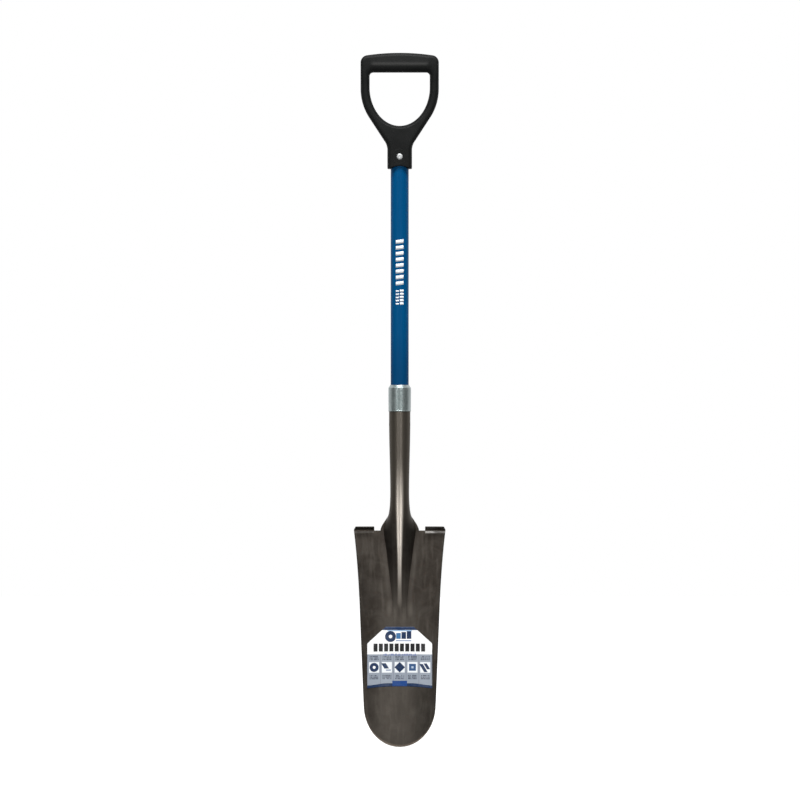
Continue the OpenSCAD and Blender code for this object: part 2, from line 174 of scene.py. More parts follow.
# Columns are counted from the centre line out, and rows from the tip up.
COL_CENTRE, COL_NOTCH, COL_EDGE = 12, 13, 20
ROW_TIP, ROW_FROG, ROW_STEP, ROW_FLARE, ROW_TOP = 6, 9, 20, 28, 34
BEND_ROWS, FLAT_ROWS = 4, 2
FLANGE_ROW = ROW_STEP + BEND_ROWS + FLAT_ROWS
# Each column and row of the CAD part is split into this many.
FINE = 4


def half_w(z):
    slope = (BLADE_W - TIP_W - 2 * SPREAD) / 2 / (BLADE_H - TIP_H)
    return TIP_W / 2 + slope * np.maximum(z - TIP_H, 0) + SPREAD * ramp(SPREAD_Z, BLADE_H, z) ** 2


def centre_y(z):
    d = BLADE_H - z
    return BLADE_BACK - LIFT * d - TIP_CURL * d * d


def step_dish(v):
    curved = v * v / (2 * STEP_SHARE)
    straight = v - STEP_SHARE / 2
    return np.where(v < STEP_SHARE, curved, straight) / (1 - STEP_SHARE / 2)


def dish_y(v, z):
    m = smooth(BLADE_H - 70, BLADE_H, z)
    return mix(DISH, DISH_TOP, m) * mix(v * v, step_dish(v), m)


def frog_half(z):
    return mix(FROG_END_W, FROG_W, ramp(FROG_END, BLADE_H, z) ** 1.35)


def frog_y(x, z):
    d = centre_y(z) + RIDGE_FRONT
    rise = (d + np.sqrt(d * d + RIDGE_BLEND ** 2)) / 2 * smooth(LEVEL_Z, FROG_END - 15, z)
    w = frog_half(z)
    c = mix(CREST_END_R, CREST_R, ramp(FROG_END, BLADE_H, z))
    v = (np.sqrt(x * x + c * c) - c) / (np.sqrt(w * w + c * c) - c)
    return rise * (1 - np.minimum(v, 1))


def sheet_y(x, z):
    """Depth of the middle of the sheet at x and z, on the blade proper."""
    return centre_y(z) - dish_y(np.abs(x) / half_w(z), z) - frog_y(x, z)


def socket_out(z):
    swell = (SOCKET_R - WAIST_R) * smooth(412, 530, z)
    return WAIST_R + swell + 1.2 * (1 - smooth(375, FLARE_TOP, z))


def share(u, z):
    """Share of the half width at column u, which follows the frog near the middle."""
    centre = mix(LOW_SHARE, CENTRE_SHARE, ramp(FROG_END, BLADE_H, z))
    first = math.asin(LOW_SHARE + 0.08)
    t = ramp(COL_NOTCH, COL_EDGE, u)
    low = np.sin(first + (math.pi / 2 - first) * t)
    outer = mix(low, mix(STEP_SHARE, 1, t), smooth(LEVEL_Z, BLADE_H, z))
    inner = centre * np.minimum(u, COL_CENTRE) / COL_CENTRE
    return mix(inner, outer, ramp(COL_CENTRE, COL_NOTCH, u))


def row_z(u, v):
    s = share(u, 0.0)
    z = TIP_H * (1 - np.sqrt(np.maximum(1 - s * s, 0)))
    stops = [(0, ROW_TIP, LEVEL_Z), (ROW_TIP, ROW_FROG, FROG_END), (ROW_FROG, ROW_STEP, BLADE_H),
             (ROW_STEP, ROW_FLARE, FLARE_TOP), (ROW_FLARE, ROW_TOP, SOCKET_TOP)]
    for low, high, top in stops:
        z = np.where(v > low, mix(z, top, ramp(low, high, v)), z)
    return z


def blade_point(u, z):
    x = share(u, z) * half_w(z)
    return np.stack([x, sheet_y(x, z), z], -1)


def socket_point(u, z):
    flat = blade_point(u, np.minimum(z, BLADE_H))
    r = socket_out(z) - SHEET / 2
    wrap = np.radians(mix(162, SOCKET_WRAP, smooth(FLARE_TOP, 480, z))) * u / COL_CENTRE
    w = smooth(FLARE_LOW, FLARE_ROUND, z)
    x = mix(flat[..., 0], r * np.sin(wrap), w)
    y = mix(flat[..., 1], -r * np.cos(wrap), w)
    return np.stack([x, y, z], -1)


def corner_cut(gap, r):
    """How much a corner of radius r takes off an edge, at a distance gap from the side."""
    inside = np.clip(r - gap, 0, r)
    return r - np.sqrt(r * r - inside * inside)


def step_point(u, k):
    """Point of a foot step at column u, k rows above the blade's top edge."""
    start = blade_point(u, np.full_like(u, BLADE_H))
    up = unit(np.array([0, LIFT, 1]))
    fore = unit(np.array([0, -1, LIFT]))
    a = (BEND_ANGLE * np.minimum(k / BEND_ROWS, 1))[..., None]
    inner_x = BLADE_W / 2 - STEP_W
    lean = STEP_LEAN / STEP_W * ramp(0.5, BEND_ROWS, k) ** 2
    x = inner_x + (start[..., 0] - inner_x) * (1 - lean)
    outer_cut = corner_cut(BLADE_W / 2 - start[..., 0], STEP_OUTER_R)
    inner_cut = corner_cut(start[..., 0] - inner_x, STEP_INNER_R)
    length = STEP_L - outer_cut - inner_cut
    flat = (length * np.maximum(k - BEND_ROWS, 0) / FLAT_ROWS)[..., None]
    rise = BEND_R * np.sin(a) + flat * np.cos(a)
    reach = BEND_R * (1 - np.cos(a)) + flat * np.sin(a)
    start[..., 0] = x
    return start + rise * up + reach * fore


def sheet_point(u, v):
    """Point of the sheet's middle at column u, negative on the left, and row v. Both may be fractions."""
    side, u = np.sign(u), np.abs(u)
    z = row_z(u, v)
    on_step = (v > ROW_STEP) & (u > COL_CENTRE)
    p = np.where(
        on_step[..., None],
        step_point(u, np.clip(v - ROW_STEP, 0, BEND_ROWS + FLAT_ROWS)),
        np.where((u <= COL_CENTRE)[..., None], socket_point(u, z), blade_point(u, z)),
    )
    p[..., 0] *= side
    return p


def build_blade():
    cols = np.arange(COL_EDGE * FINE + 1) / FINE
    # closer columns at the sides of the steps, for their rounded corners
    close = [COL_NOTCH + 0.05, COL_NOTCH + 0.12, COL_EDGE - 0.12, COL_EDGE - 0.04]
    cols = np.sort(np.append(cols, close))
    cols = np.concatenate([-cols[:0:-1], cols])
    rows = np.arange(0, ROW_TOP * FINE + 1) / FINE
    v, u = np.meshgrid(rows, cols, indexing="ij")
    au = np.abs(u)
    centre, notch = au <= COL_CENTRE, (au > COL_CENTRE) & (au < COL_NOTCH)
    row_limit = np.where(centre, ROW_TOP, np.where(notch, ROW_STEP, FLANGE_ROW))
    v = np.minimum(v, row_limit)
    low_row = v <= ROW_STEP
    step_max = np.where(u > 0, COL_EDGE, -COL_NOTCH)
    step_min = np.where(u > 0, COL_NOTCH, -COL_EDGE)
    u_max = np.where(low_row, COL_EDGE, np.where(centre, COL_CENTRE, step_max))
    u_min = np.where(low_row, -COL_EDGE, np.where(centre, -COL_CENTRE, step_min))
    # the sheet's slope comes from points this share of a column or row away
    near = 0.05
    middle = sheet_point(u, v)
    across = sheet_point(np.minimum(u + near, u_max), v) - sheet_point(np.maximum(u - near, u_min), v)
    along = sheet_point(u, np.minimum(v + near, row_limit)) - sheet_point(u, np.maximum(v - near, 0))
    normal = unit(np.cross(across, along))
    # the last stretch before the cutting edge is ground thin
    half_t = SHEET / 2 * mix(GROUND_SHARE, 1, smooth(0, GROUND_ROWS, v))
    front = middle + normal * half_t[..., None]
    back = middle - normal * half_t[..., None]

    n_rows, n_cols = v.shape
    c = np.abs((cols[:-1] + cols[1:]) / 2)[None, :]
    r = ((rows[:-1] + rows[1:]) / 2)[:, None]
    steel = (r < ROW_STEP) | (c < COL_CENTRE) | ((c > COL_NOTCH) & (r < FLANGE_ROW))
    padded = np.pad(steel, 1)
    f = np.arange(n_rows * n_cols).reshape(n_rows, n_cols)
    b = f + n_rows * n_cols
    corner = lambda g, dj, di: g[dj:n_rows - 1 + dj, di:n_cols - 1 + di]
    fa, fb, fc, fd = corner(f, 0, 0), corner(f, 0, 1), corner(f, 1, 1), corner(f, 1, 0)
    ba, bb, bc, bd = corner(b, 0, 0), corner(b, 0, 1), corner(b, 1, 1), corner(b, 1, 0)
    quads = [
        (steel, (fa, fb, fc, fd)),
        (steel, (ba, bd, bc, bb)),
        (steel & ~padded[1:-1, :-2], (fd, bd, ba, fa)),
        (steel & ~padded[1:-1, 2:], (fb, bb, bc, fc)),
        (steel & ~padded[:-2, 1:-1], (fa, ba, bb, fb)),
        (steel & ~padded[2:, 1:-1], (fc, bc, bd, fd)),
    ]
    faces = np.concatenate([np.stack([q[m] for q in corners], -1) for m, corners in quads])
    verts = np.concatenate([front.reshape(-1, 3), back.reshape(-1, 3)])
    used, faces = np.unique(faces, return_inverse=True)
    faces = faces.reshape(-1, 4)
    obj = add_piece("blade_forging", verts[used], faces.tolist(), "blade")
    for name, (on_front, on_back) in steel_masks(u, v, middle).items():
        add_attribute(obj, name, np.concatenate([on_front.ravel(), on_back.ravel()])[used])
    round_edges(obj, EDGE_ROUNDING)
    return obj


def steel_masks(u, v, middle):
    """Masks that place the steel's wear and its painted highlights, reflections and shade, each as a pair of
    arrays for the front and the back of the sheet.
    """
    au = np.abs(u)
    x, y, z = middle[..., 0], middle[..., 1], middle[..., 2]
    outer = au > COL_CENTRE
    # the crest mask places the crest's polish and its painted highlight
    crest_half = mix(2.9, 5.4, ramp(300, 395, z)) * mix(1, 0.75, smooth(425, 470, z))
    crest = np.exp(-(np.abs(x) / crest_half) ** 5) * ((y < 0) | (z < BLADE_H))
    in_frog = 1 - smooth(0.88, 1.0, np.abs(x) / frog_half(z))
    flank = in_frog * (1 - np.exp(-(x / (crest_half * 1.8)) ** 4)) * smooth(192, 225, z)
    flank = flank * (1 - smooth(352, 372, z))
    # painted reflections on the dish beside the end of the frog and along its sides
    end_spots = np.exp(-((np.abs(x) - 17) / 5.5) ** 2 - ((z - 222) / 17) ** 2)
    beside_frog = 0.45 * np.exp(-((np.abs(x) - frog_half(z) - 5) / 4.5) ** 2)
    beside_frog = beside_frog * smooth(222, 250, z) * (1 - smooth(300, 345, z))
    masks = {
        # distance to the cutting edge in millimetres, roughly
        "edge_gap": np.minimum((1 - au / COL_EDGE) * 60, v * 11),
        "crest": crest,
        "flank": flank,
        "shoulder": np.maximum(end_spots, beside_frog),
        # a painted highlight at the lower end of the ridge
        "ridge_end": np.exp(-(x / 4.0) ** 2 - ((z - 238) / 16) ** 2),
        "step": outer * smooth(ROW_STEP + BEND_ROWS * 0.6, ROW_STEP + BEND_ROWS, v),
        "bend": outer * np.exp(-((v - ROW_STEP - 0.6) / 0.75) ** 2),
    }
    # the crest's painted highlight, the painted reflections and the flank darkening are on the frog's front
    # only
    front_only = ("crest", "flank", "shoulder", "ridge_end")
    pairs = {name: (m, 0 * m if name in front_only else m) for name, m in masks.items()}
    pairs["front_face"] = (np.ones_like(v), np.zeros_like(v))
    return pairs


# ---------------------------------------------------------------- collar, handle and rivets

def build_collar():
    inner = SOCKET_R + 0.05
    neck = tube_hi[0] + 0.05
    z0, z1 = collar_lo[2], collar_hi[2]
    outer = collar_hi[0]
    body = outer - 0.3
    lip = arc(outer - 0.5, z0 + 0.5, 0.5, -90, 0, 4) + arc(outer - 0.5, z0 + 1.4, 0.5, 0, 60, 3)
    shoulder = arc(outer - 1.6, z1 - 5.2, 1.6, 0, 52, 6)
    profile = [(inner, z0)] + lip + [(body, z0 + 2.6), (body + 0.05, z0 + 12), (body + 0.2, z1 - 8)]
    profile += shoulder + [(neck + 0.85, z1 - 0.35), (neck + 0.6, z1), (neck, z1), (inner, z1 - 5)]
    verts, faces = lathe(profile, 128)
    # the crimp leaves a few shallow flats round the shoulder
    angle = np.arctan2(verts[:, 1], verts[:, 0])
    radius = np.hypot(verts[:, 0], verts[:, 1])
    depth = 0.22 * smooth(z1 - 9, z1 - 4, verts[:, 2]) * (0.5 + 0.5 * np.cos(8 * angle + 0.6))
    scale = (radius - depth * (radius > inner + 0.2)) / radius
    verts[:, :2] *= scale[:, None]
    return add_piece("collar_ferrule", verts, faces, "collar")


def build_tube():
    r = tube_hi[0]
    wall = 4.5
    bore = r - wall
    z0, z1 = tube_lo[2], tube_hi[2]
    heights = np.linspace(z0 + 42, z1 - 0.5, 40)
    profile = [(bore, z0), (r - 0.5, z0)] + [(r, z) for z in heights] + [(r - 0.5, z1), (bore, z1)]
    verts, faces = lathe(profile, 128)
    return add_piece("handle_fibreglass", verts, faces, "handle_tube")


def turn_to_y(verts):
    """Carries points turned about Z so that their axis runs to the front, -Y."""
    return np.stack([verts[:, 0], -verts[:, 2], verts[:, 1]], -1)


def build_grip_rivet():
    shank = 2.4
    head_r = (rivet_hi[0] - rivet_lo[0]) / 2
    front, back = -rivet_lo[1], -rivet_hi[1]
    head_h = 2.2
    base = front - head_h
    z_mid = (rivet_lo[2] + rivet_hi[2]) / 2
    dome = [(head_r * math.cos(a), base + 0.5 + (head_h - 0.5) * math.sin(a))
            for a in np.linspace(0, math.radians(66), 9)]
    dimple = [(1.5, front - 0.18), (1.2, front - 0.25), (0.9, front - 0.45), (0.4, front - 0.55),
              (0, front - 0.57)]
    profile = [(0, back), (2.9, back), (3.6, back + 0.5), (3.7, back + 1.0), (3.4, back + 1.5)]
    profile += [(shank, back + 1.6), (shank, base), (head_r - 0.3, base), (head_r, base + 0.3)]
    profile += dome + dimple
    verts, faces = lathe(profile, 64)
    verts = turn_to_y(verts) + np.array([0, 0, z_mid])
    return add_piece("grip_rivet_turned", verts, faces, "grip_rivet")


def build_washer():
    outer = (washer_hi[0] - washer_lo[0]) / 2
    y0, y1 = -washer_hi[1], -washer_lo[1]
    z_mid = (washer_lo[2] + washer_hi[2]) / 2
    hole = 2.45
    profile = [(hole, y0), (outer - 0.35, y0), (outer - 0.1, y0 + 0.12), (outer, y0 + 0.35), (outer, y1),
               (hole, y1)]
    verts, faces = lathe(profile, 64)
    verts = turn_to_y(verts) + np.array([0, 0, z_mid])
    return add_piece("grip_washer_pressed", verts, faces, "grip_rivet_washer")


def build_socket_rivet():
    reach = pin_hi[0]
    head_r = (pin_hi[2] - pin_lo[2]) / 2
    z_mid = (pin_lo[2] + pin_hi[2]) / 2
    shank, base = 2.4, reach - 1.3
    half = [(shank, base), (head_r - 0.1, reach - 0.15), (head_r - 0.3, reach), (1.3, reach),
            (0.9, reach - 0.35), (0, reach - 0.45)]
    profile = [(r, -h) for r, h in reversed(half)] + half
    verts, faces = lathe(profile, 64)
    verts = np.stack([verts[:, 2], verts[:, 1], verts[:, 0] + z_mid], -1)
    return add_piece("socket_rivet_turned", verts, faces, "socket_rivet")


# ---------------------------------------------------------------- D-grip

GRIP_W = grip_hi[0]
GRIP_TOP = grip_hi[2]
NECK_Z = grip_lo[2]
NECK_W, NECK_D, NECK_TOP = 20.1, grip_hi[1], 972.0
CROWN_R = 370.0
OPENING_W, OPENING_Z, OPENING_SIDE_Z = 49.2, 1011.0, 1075.0
BAR_Z, CREST_Z = 1098.8, 1111.0
SHOULDER_R, SHOULDER_Z = 85.0, 1072.0
FLANK = math.radians(33.2)
FILLET_R = 26.7
BAR_HALF_D, ARM_HALF_D = 15.0, 11.6
BORE_R = tube_hi[0] + 0.15
RIVET_Z = (rivet_lo[2] + rivet_hi[2]) / 2
SEAT_R, SEAT_DEPTH = 5.6, 0.5
RIM_ARCH = 3.6


def outline_gap(x, z):
    """Distance outside the grip's outer outline, seen from the front, at x of 0 or more."""
    side = x - GRIP_W
    arc_x, arc_z = GRIP_W - SHOULDER_R, SHOULDER_Z
    shoulder = np.hypot(x - arc_x, z - arc_z) - SHOULDER_R
    foot_x = arc_x + SHOULDER_R * math.cos(FLANK)
    foot_z = arc_z - SHOULDER_R * math.sin(FLANK)
    flank = (x - foot_x) * math.cos(FLANK) - (z - foot_z) * math.sin(FLANK)
    below = np.arctan2(arc_z - z, np.maximum(x - arc_x, 1e-6))
    gap = np.where(below < 0, side, np.where(below < FLANK, shoulder, flank))
    fil_x, fil_z = NECK_W + FILLET_R, NECK_TOP
    fillet = FILLET_R - np.hypot(x - fil_x, z - fil_z)
    lean = (z - fil_z) * math.cos(FLANK) - (fil_x - x) * math.sin(FLANK)
    gap = np.where((lean < 0) & (x < fil_x), fillet, gap)
    return np.where(z < fil_z, x - NECK_W, gap)


def opening_gap(x, z):
    """Distance outside the hand opening's outline, at x of 0 or more."""
    r = 6.0
    dx, dz = x - (OPENING_W - r), z - (BAR_Z - r)
    box = np.minimum(np.maximum(dx, dz), 0) + np.hypot(np.maximum(dx, 0), np.maximum(dz, 0)) - r
    rz = OPENING_SIDE_Z - OPENING_Z
    qx, qz = x / OPENING_W, (z - OPENING_SIDE_Z) / rz
    k1 = np.hypot(qx, qz)
    k2 = np.maximum(np.hypot(qx / OPENING_W, qz / rz), 1e-9)
    return np.where(z > OPENING_SIDE_Z, box, k1 * (k1 - 1) / k2)


def round_and(a, b, r):
    """Intersection of two solids with their common edge rounded to radius r."""
    ua, ub = np.maximum(a + r, 0), np.maximum(b + r, 0)
    return np.minimum(-r, np.maximum(a, b)) + np.hypot(ua, ub)


def grip_field(p):
    """Distance outside the grip's surface, negative in the plastic."""
    x, y, z = np.abs(p[..., 0]), np.abs(p[..., 1]), p[..., 2]
    crown = np.hypot(x, z - (GRIP_TOP - CROWN_R)) - CROWN_R
    outer = round_and(outline_gap(x, z), crown, 10.0)
    hole = opening_gap(x, z)
    bar = smooth(1078, 1102, z)
    neck = 1 - smooth(NECK_TOP, OPENING_SIDE_Z, z)
    # the hand bar is thickest along a crest low on its front, and slopes back above it
    hand = bar * (1 - 0.45 * smooth(45, 53, x))
    depth = mix(ARM_HALF_D, BAR_HALF_D, hand) + (NECK_D - ARM_HALF_D) * neck
    depth = depth - 3.0 * hand * ramp(CREST_Z, GRIP_TOP - 3, z)
    # the front face falls back towards the opening in a bevel on the arms
    bevel = (y - depth + 0.8 * np.maximum(4.5 - hole, 0) * (1 - bar)) / mix(1.2, 1, bar)
    body = round_and(outer, bevel, mix(7.0, 5.5, bar))
    body = round_and(body, -hole, mix(2.2, 11.0, bar))
    rim = NECK_Z + RIM_ARCH * np.maximum(1 - (x / BORE_R) ** 2, 0) * (y > x) - z
    body = round_and(body, rim, 1.4)
    bore = BORE_R - np.hypot(x, y)
    below_cap = z - (tube_hi[2] + 1)
    body = np.where(below_cap < 0, round_and(body, bore, 0.8), body)
    # the rivet's head sits in a shallow seat on the front
    seat = np.hypot(x, z - RIVET_Z) - SEAT_R
    recess = np.maximum(seat, (NECK_D - SEAT_DEPTH) - np.where(p[..., 1] < 0, y, 0))
    return np.maximum(body, -recess)


def surface_net(field, lo, hi, cell):
    """Quad mesh of the surface where field is zero, with one vertex for each grid cell that it crosses."""
    counts = np.ceil((hi - lo) / cell).astype(int) + 1
    axes = [lo[k] + cell * np.arange(counts[k]) for k in range(3)]
    grid = np.stack(np.meshgrid(*axes, indexing="ij"), -1)
    value = field(grid)
    inside = value < 0
    cells = tuple(c - 1 for c in counts)
    total, hits = np.zeros(cells + (3,)), np.zeros(cells)
    offsets = [(i, j, k) for i in (0, 1) for j in (0, 1) for k in (0, 1)]
    for a in offsets:
        for axis in range(3):
            if a[axis]:
                continue
            b = tuple(a[k] + (k == axis) for k in range(3))
            sa = tuple(slice(a[k], a[k] + cells[k]) for k in range(3))
            sb = tuple(slice(b[k], b[k] + cells[k]) for k in range(3))
            cross = inside[sa] != inside[sb]
            t = value[sa] / np.where(cross, value[sa] - value[sb], 1)
            point = np.array(a, float) + np.eye(3)[axis] * t[..., None]
            total += np.where(cross[..., None], point, 0)
            hits += cross
    live = hits > 0
    index = np.full(cells, -1)
    index[live] = np.arange(live.sum())
    where = np.argwhere(live)
    verts = lo + cell * (where + total[live] / hits[live][:, None])
    faces = []
    for axis in range(3):
        b, c = (axis + 1) % 3, (axis + 2) % 3
        first = [slice(1, -1)] * 3
        first[axis] = slice(0, counts[axis] - 1)
        second = list(first)
        second[axis] = slice(1, counts[axis])
        ia, ib = inside[tuple(first)], inside[tuple(second)]
        base = np.argwhere(ia != ib)
        flip = ib[tuple(base.T)]
        start = base.copy()
        start[:, [b, c]] += 1
        around = []
        for db, dc in ((1, 1), (0, 1), (0, 0), (1, 0)):
            q = start.copy()
            q[:, b] -= db
            q[:, c] -= dc
            around.append(index[tuple(q.T)])
        quad = np.stack(around, -1)
        quad[flip] = quad[flip][:, ::-1]
        faces.append(quad)
    faces = np.concatenate(faces)
    # a few Newton steps carry the vertices onto the surface itself
    probe = 0.02
    for _ in range(4):
        rises = [field(verts + probe * e) - field(verts - probe * e) for e in np.eye(3)]
        grad = np.stack(rises, -1) / (2 * probe)
        size = np.maximum((grad ** 2).sum(-1), 0.25)
        move = -(field(verts) / size)[:, None] * grad
        verts = verts + np.clip(move, -cell / 2, cell / 2)
    return verts, faces


def build_grip():
    pad = 2.0
    quick_cell, fine_cell = 2.0, 1.1
    cell = fine_cell
    verts, faces = surface_net(grip_field, grip_lo - pad, grip_hi + pad, cell)
    return add_piece("d_grip_moulded", verts, faces.tolist(), "d_grip")


# ---------------------------------------------------------------- labels

def build_blade_label():
    cols, rows = 72, 64
    top_w, shoulder = 23.0, 0.73
    width = (label_hi[0] - label_lo[0]) / 2
    z0, z1 = 94.4, 193.8
    gap, thick = 0.06, 0.25
    arch = 4.0
    j, i = np.meshgrid(np.arange(rows + 1) / rows, np.arange(-cols, cols + 1) / cols, indexing="ij")
    z = mix(z0, z1, j)
    x = mix(width, top_w, ramp(shoulder, 1, j)) * i
    z = z + arch * (1 - i * i) * (1 - ramp(0, 0.15, j)) * 0.8
    step = 0.5
    slope_x = (sheet_y(x + step, z) - sheet_y(x - step, z)) / (2 * step)
    slope_z = (sheet_y(x, z + step) - sheet_y(x, z - step)) / (2 * step)
    normal = unit(np.stack([slope_x, -np.ones_like(x), slope_z], -1))
    middle = np.stack([x, sheet_y(x, z), z], -1)
    top = middle + normal * (SHEET / 2 + gap + thick)
    under = middle + normal * (SHEET / 2 + gap)
    n_rows, n_cols = x.shape
    f = np.arange(n_rows * n_cols).reshape(n_rows, n_cols)
    sheet = np.stack([f[:-1, :-1], f[:-1, 1:], f[1:, 1:], f[1:, :-1]], -1).reshape(-1, 4)
    loop = list(f[0, :]) + list(f[1:, -1]) + list(f[-1, -2::-1]) + list(f[-2:0:-1, 0])
    rim = [[c, a, a + f.size, c + f.size] for a, c in zip(loop, loop[1:] + loop[:1])]
    faces = sheet.tolist() + (sheet + f.size)[:, ::-1].tolist() + rim
    verts = np.concatenate([top.reshape(-1, 3), under.reshape(-1, 3)])
    return add_piece("blade_label_printed", verts, faces, "blade_label")


def tube_patch(x0, x1, span, r, thick):
    """A thin patch on the front of the handle tube. span gives its lowest and highest z at each x."""
    cols = 10
    verts, faces = [], []
    for layer in (r + thick, r):
        for x in np.linspace(x0, x1, cols + 1):
            lo, hi = span(x)
            y = -math.sqrt(layer * layer - x * x)
            verts += [(x, y, lo), (x, y, hi)]
    n = 2 * (cols + 1)
    for k in range(cols):
        a, b, c, d = 2 * k, 2 * k + 2, 2 * k + 3, 2 * k + 1
        faces += [[a, b, c, d], [n + a, n + d, n + c, n + b]]
        faces += [[a, n + a, n + b, b], [d, c, n + c, n + d]]
    faces += [[0, 1, n + 1, n], [n - 2, 2 * n - 2, 2 * n - 1, n - 1]]
    return verts, faces


def build_handle_print():
    """Plain white marks up the front of the handle: a row of slanted bars and a shorter row of small ones."""
    r, thick = tube_hi[0] + 0.02, 0.12
    verts, faces = [], []

    def mark(x0, x1, z0, z1, slant):
        def span(x):
            shift = slant * (x - x0) / (x1 - x0)
            return z0 + shift, z1 + shift

        v, f = tube_patch(x0, x1, span, r, thick)
        n = len(verts)
        verts.extend(v)
        faces.extend([[c + n for c in q] for q in f])

    half, slant = 6.4, 1.4
    long_z0, long_z1, bars = 750.5, 828.0, 8
    pitch = (long_z1 - long_z0) / bars
    for k in range(bars):
        z0 = long_z0 + k * pitch
        mark(-half, half, z0, z0 + pitch * 0.62, slant)
    small_z0, small_z1, rows = 719.0, 745.0, 5
    pitch = (small_z1 - small_z0) / rows
    for k in range(rows):
        z0 = small_z0 + k * pitch
        mark(-half, -1.2, z0, z0 + pitch * 0.5, 0.0)
        mark(0.4, half, z0, z0 + pitch * 0.72, 0.0)
    return add_piece("handle_print_marks", verts, faces, "handle_label")


# ---------------------------------------------------------------- materials

class Shader:
    """A short way to write a node tree: each call adds a node and returns its output."""

    def __init__(self, name):
        self.material = bpy.data.materials.new(name)
        self.material.use_nodes = True
        self.tree = self.material.node_tree
        self.tree.nodes.clear()
        self.out = self.tree.nodes.new("ShaderNodeOutputMaterial")
        self.surface = self.tree.nodes.new("ShaderNodeBsdfPrincipled")
        self.tree.links.new(self.surface.outputs[0], self.out.inputs["Surface"])

    def put(self, socket, value):
        if isinstance(value, bpy.types.NodeSocket):
            self.tree.links.new(value, socket)
        elif isinstance(value, (tuple, list)) and len(value) == 3 and socket.type == "RGBA":
            socket.default_value = (*value, 1)
        else:
            socket.default_value = value

    def set(self, **inputs):
        for name, value in inputs.items():
            self.put(self.surface.inputs[name.replace("_", " ").title().replace("Ior", "IOR")], value)

    def math(self, operation, a, b=0.0, c=0.0):
        node = self.tree.nodes.new("ShaderNodeMath")
        node.operation = operation
        for socket, value in zip(node.inputs, (a, b, c)):
            self.put(socket, value)
        return node.outputs[0]

    def times(self, a, b):
        return self.math("MULTIPLY", a, b)

    def plus(self, a, b):
        return self.math("ADD", a, b)

    def minus(self, a, b):
        return self.math("SUBTRACT", a, b)

    def absolute(self, a):
        return self.math("ABSOLUTE", a)

    def length(self, dx, dz):
        return self.math("SQRT", self.plus(self.times(dx, dx), self.times(dz, dz)))

    def mix(self, share, a, b):
        node = self.tree.nodes.new("ShaderNodeMix")
        node.data_type = "RGBA"
        self.put(node.inputs["Factor"], share)
        self.put(node.inputs[6], a)
        self.put(node.inputs[7], b)
        return node.outputs[2]

    def blend(self, share, a, b):
        """Like mix, for plain numbers."""
        node = self.tree.nodes.new("ShaderNodeMix")
        node.data_type = "FLOAT"
        self.put(node.inputs["Factor"], share)
        self.put(node.inputs[2], a)
        self.put(node.inputs[3], b)
        return node.outputs[0]

    def position(self, scale=(1, 1, 1)):
        """Object position in millimetres, stretched by scale."""
        coords = self.tree.nodes.new("ShaderNodeTexCoord").outputs["Object"]
        node = self.tree.nodes.new("ShaderNodeVectorMath")
        node.operation = "MULTIPLY"
        self.put(node.inputs[0], coords)
        node.inputs[1].default_value = [s / MM for s in scale]
        return node.outputs[0]

    def split(self, vector):
        node = self.tree.nodes.new("ShaderNodeSeparateXYZ")
        self.put(node.inputs[0], vector)
        return node.outputs[0], node.outputs[1], node.outputs[2]

    def noise(self, scale=(1, 1, 1), size=10.0, detail=4.0, rough=0.55, distort=0.0):
        """Noise whose blobs are about size millimetres across."""
        node = self.tree.nodes.new("ShaderNodeTexNoise")
        self.put(node.inputs["Vector"], self.position(scale))
        node.inputs["Scale"].default_value = 1 / size
        node.inputs["Detail"].default_value = detail
        node.inputs["Roughness"].default_value = rough
        node.inputs["Distortion"].default_value = distort
        return node.outputs["Fac"]

    def spots(self, size):
        """Distance from the nearest of scattered points, about size millimetres apart."""
        node = self.tree.nodes.new("ShaderNodeTexVoronoi")
        self.put(node.inputs["Vector"], self.position())
        node.inputs["Scale"].default_value = 1 / size
        return node.outputs["Distance"]

    def fade(self, value, low, high, to_low=0.0, to_high=1.0):
        """Smooth step from to_low to to_high as value goes from low to high."""
        node = self.tree.nodes.new("ShaderNodeMapRange")
        node.interpolation_type = "SMOOTHSTEP"
        for socket, v in zip(node.inputs, (value, low, high, to_low, to_high)):
            self.put(socket, v)
        return node.outputs[0]

    def attribute(self, name):
        node = self.tree.nodes.new("ShaderNodeAttribute")
        node.attribute_name = name
        return node.outputs["Fac"]

    def facing(self):
        """0 where the surface faces the viewer, 1 where it is seen edge on."""
        return self.tree.nodes.new("ShaderNodeLayerWeight").outputs["Facing"]

    def bump(self, height, strength, distance_mm, after=None):
        node = self.tree.nodes.new("ShaderNodeBump")
        node.inputs["Strength"].default_value = strength
        node.inputs["Distance"].default_value = distance_mm * MM
        self.put(node.inputs["Height"], height)
        if after is not None:
            self.put(node.inputs["Normal"], after)
        return node.outputs[0]

    def bar(self, x, z, cx, cz, w, h):
        """1 inside a w by h rectangle centred on cx, cz."""
        return self.times(self.math("COMPARE", x, cx, w / 2), self.math("COMPARE", z, cz, h / 2))

    def disc(self, x, z, cx, cz, r):
        """1 inside a circle of radius r round cx, cz."""
        return self.math("LESS_THAN", self.length(self.minus(x, cx), self.minus(z, cz)), r)


# Steel tones: scale on the blade, brown bloom, dull rubbed steel that also paints the reflections on the
# dish, soot and sheared edges that also paint the shade on the foot steps, the polished crest's painted
# highlight, worn edges and the painted highlight on the bends, the painted highlight under the steps, and
# scale on the socket.
STEEL_DARK, STEEL_LIGHT = (0.037, 0.0305, 0.025), (0.057, 0.049, 0.0415)
STEEL_RUST = (0.062, 0.038, 0.028)
STEEL_PALE_AND_SHEEN = (0.170, 0.152, 0.130)
STEEL_SOOT_AND_SHADE = (0.022, 0.022, 0.019)
STEEL_CREST_HIGHLIGHT = (0.760, 0.690, 0.610)
STEEL_WORN_AND_SHEEN = (0.360, 0.290, 0.225)
STEEL_STEP_GLINT = (0.680, 0.660, 0.630)
STEEL_SOCKET = (0.098, 0.086, 0.070)


